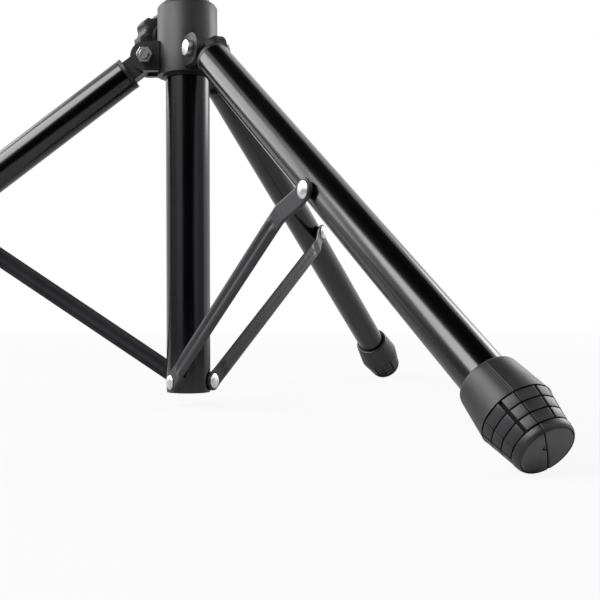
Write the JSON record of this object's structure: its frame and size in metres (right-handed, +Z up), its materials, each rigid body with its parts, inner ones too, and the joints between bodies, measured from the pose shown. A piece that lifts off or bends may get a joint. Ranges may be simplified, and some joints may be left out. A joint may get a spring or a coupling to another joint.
{
  "type": "keyboard stand",
  "caption": "Folding tripod keyboard stand: round column, tube legs on a sliding collar, riveted steel braces, rubber feet, height mast and tilting support arms.",
  "frame": {"origin": "on the floor, on the axis of the column", "axes": "+Z up along the column, -Y towards the player, +X along the crossbar to the player's right"},
  "size_m": [0.5932, 0.5175, 0.9156],
  "materials": {
    "powder_coat": "semi-gloss black powder coat",
    "brace_steel": "satin dark grey coat on pressed steel",
    "rubber": "matt moulded rubber",
    "plastic": "fine grain moulded plastic",
    "rivet": "bright nickel plate",
    "zinc": "zinc plated"
  },
  "bodies": {
    "column": {"column_tube": "powder_coat", "column_plug": "plastic", "column_saddles": "plastic", "column_rivets": "rivet", "height_clamp": "plastic", "height_bush": "plastic"},
    "height_knob": {"height_screw": "zinc", "height_grip": "plastic"},
    "collar": {"collar_body": "plastic", "collar_bush": "plastic", "collar_bolts": "zinc", "collar_nuts": "zinc"},
    "collar_knob": {"collar_screw": "zinc", "collar_grip": "plastic"},
    "leg_front": {"leg_front_tube": "powder_coat", "leg_front_hinge": "plastic", "leg_front_foot": "rubber"},
    "brace_front": {"brace_front_bar": "brace_steel", "brace_front_spacer": "plastic", "brace_front_rivet": "rivet"},
    "leg_right": {"leg_right_tube": "powder_coat", "leg_right_hinge": "plastic", "leg_right_foot": "rubber"},
    "brace_right": {"brace_right_bar": "brace_steel", "brace_right_spacer": "plastic", "brace_right_rivet": "rivet"},
    "leg_left": {"leg_left_tube": "powder_coat", "leg_left_hinge": "plastic", "leg_left_foot": "rubber"},
    "brace_left": {"brace_left_bar": "brace_steel", "brace_left_spacer": "plastic", "brace_left_rivet": "rivet"},
    "mast": {"mast_tube": "powder_coat", "mast_guide": "plastic", "mast_fork": "powder_coat", "tilt_bolt": "zinc"},
    "tilt_knob": {"tilt_grip": "plastic"},
    "head": {"head_block": "powder_coat", "crossbar": "powder_coat", "crossbar_caps": "plastic"},
    "arm_right": {"arm_right_sleeve": "powder_coat", "arm_right_tube": "powder_coat", "arm_right_caps": "plastic", "arm_right_pads": "rubber", "arm_right_post": "powder_coat", "arm_right_cover": "rubber"},
    "arm_knob_right": {"arm_right_screw": "zinc", "arm_right_grip": "plastic"},
    "arm_left": {"arm_left_sleeve": "powder_coat", "arm_left_tube": "powder_coat", "arm_left_caps": "plastic", "arm_left_pads": "rubber", "arm_left_post": "powder_coat", "arm_left_cover": "rubber"},
    "arm_knob_left": {"arm_left_screw": "zinc", "arm_left_grip": "plastic"}
  },
  "joints": [
    {"name": "fold", "type": "slide", "parent": "column", "child": "collar", "axis": [0, 0, 1], "range_m": [0, 0.16036]},
    {"name": "collar_clamp", "type": "hinge", "parent": "collar", "child": "collar_knob", "pos_m": [0, 0.035, 0.26159], "axis": [0, 1, 0], "range_deg": [0, 360]},
    {"name": "height_clamp_turn", "type": "hinge", "parent": "column", "child": "height_knob", "pos_m": [-0.03464, 0.02, 0.5425], "axis": [-0.866, 0.5, 0], "range_deg": [0, 360]},
    {"name": "leg_front_swing", "type": "hinge", "parent": "collar", "child": "leg_front", "pos_m": [0, -0.028, 0.23759], "axis": [1, 0, 0], "range_deg": [0, 52.41]},
    {"name": "leg_right_swing", "type": "hinge", "parent": "collar", "child": "leg_right", "pos_m": [0.02425, 0.014, 0.23759], "axis": [-0.5, 0.866, 0], "range_deg": [0, 52.41]},
    {"name": "leg_left_swing", "type": "hinge", "parent": "collar", "child": "leg_left", "pos_m": [-0.02425, 0.014, 0.23759], "axis": [-0.5, -0.866, 0], "range_deg": [0, 52.41]},
    {"name": "brace_front_swing", "type": "hinge", "parent": "column", "child": "brace_front", "pos_m": [0, -0.0065, 0.0171], "axis": [-1, 0, 0], "range_deg": [0, 49.32]},
    {"name": "brace_right_swing", "type": "hinge", "parent": "column", "child": "brace_right", "pos_m": [0.00563, 0.00325, 0.0171], "axis": [0.5, -0.866, 0], "range_deg": [0, 49.32]},
    {"name": "brace_left_swing", "type": "hinge", "parent": "column", "child": "brace_left", "pos_m": [-0.00563, 0.00325, 0.0171], "axis": [0.5, 0.866, 0], "range_deg": [0, 49.32]},
    {"name": "height", "type": "slide", "parent": "column", "child": "mast", "axis": [0, 0, 1], "range_m": [-0.16, 0.24]},
    {"name": "tilt", "type": "hinge", "parent": "mast", "child": "head", "pos_m": [0, 0, 0.7885], "axis": [1, 0, 0], "range_deg": [-10, 30]},
    {"name": "tilt_clamp", "type": "hinge", "parent": "mast", "child": "tilt_knob", "pos_m": [0.03, 0, 0.7885], "axis": [1, 0, 0], "range_deg": [0, 360]},
    {"name": "arm_right_slide", "type": "slide", "parent": "head", "child": "arm_right", "axis": [1, 0, 0], "range_m": [-0.12, 0.045]},
    {"name": "arm_right_clamp", "type": "hinge", "parent": "arm_right", "child": "arm_knob_right", "pos_m": [0.185, 0, 0.7875], "axis": [0, 0, -1], "range_deg": [0, 360]},
    {"name": "arm_left_slide", "type": "slide", "parent": "head", "child": "arm_left", "axis": [-1, 0, 0], "range_m": [-0.12, 0.045]},
    {"name": "arm_left_clamp", "type": "hinge", "parent": "arm_left", "child": "arm_knob_left", "pos_m": [-0.185, 0, 0.7875], "axis": [0, 0, -1], "range_deg": [0, 360]}
  ],
  "couplings": [
    {"joint": "leg_front_swing", "follows": "fold", "rad_per_m": 5.7031},
    {"joint": "leg_right_swing", "follows": "fold", "rad_per_m": 5.7031},
    {"joint": "leg_left_swing", "follows": "fold", "rad_per_m": 5.7031},
    {"joint": "brace_front_swing", "follows": "fold", "rad_per_m": 5.3664},
    {"joint": "brace_right_swing", "follows": "fold", "rad_per_m": 5.3664},
    {"joint": "brace_left_swing", "follows": "fold", "rad_per_m": 5.3664}
  ]
}
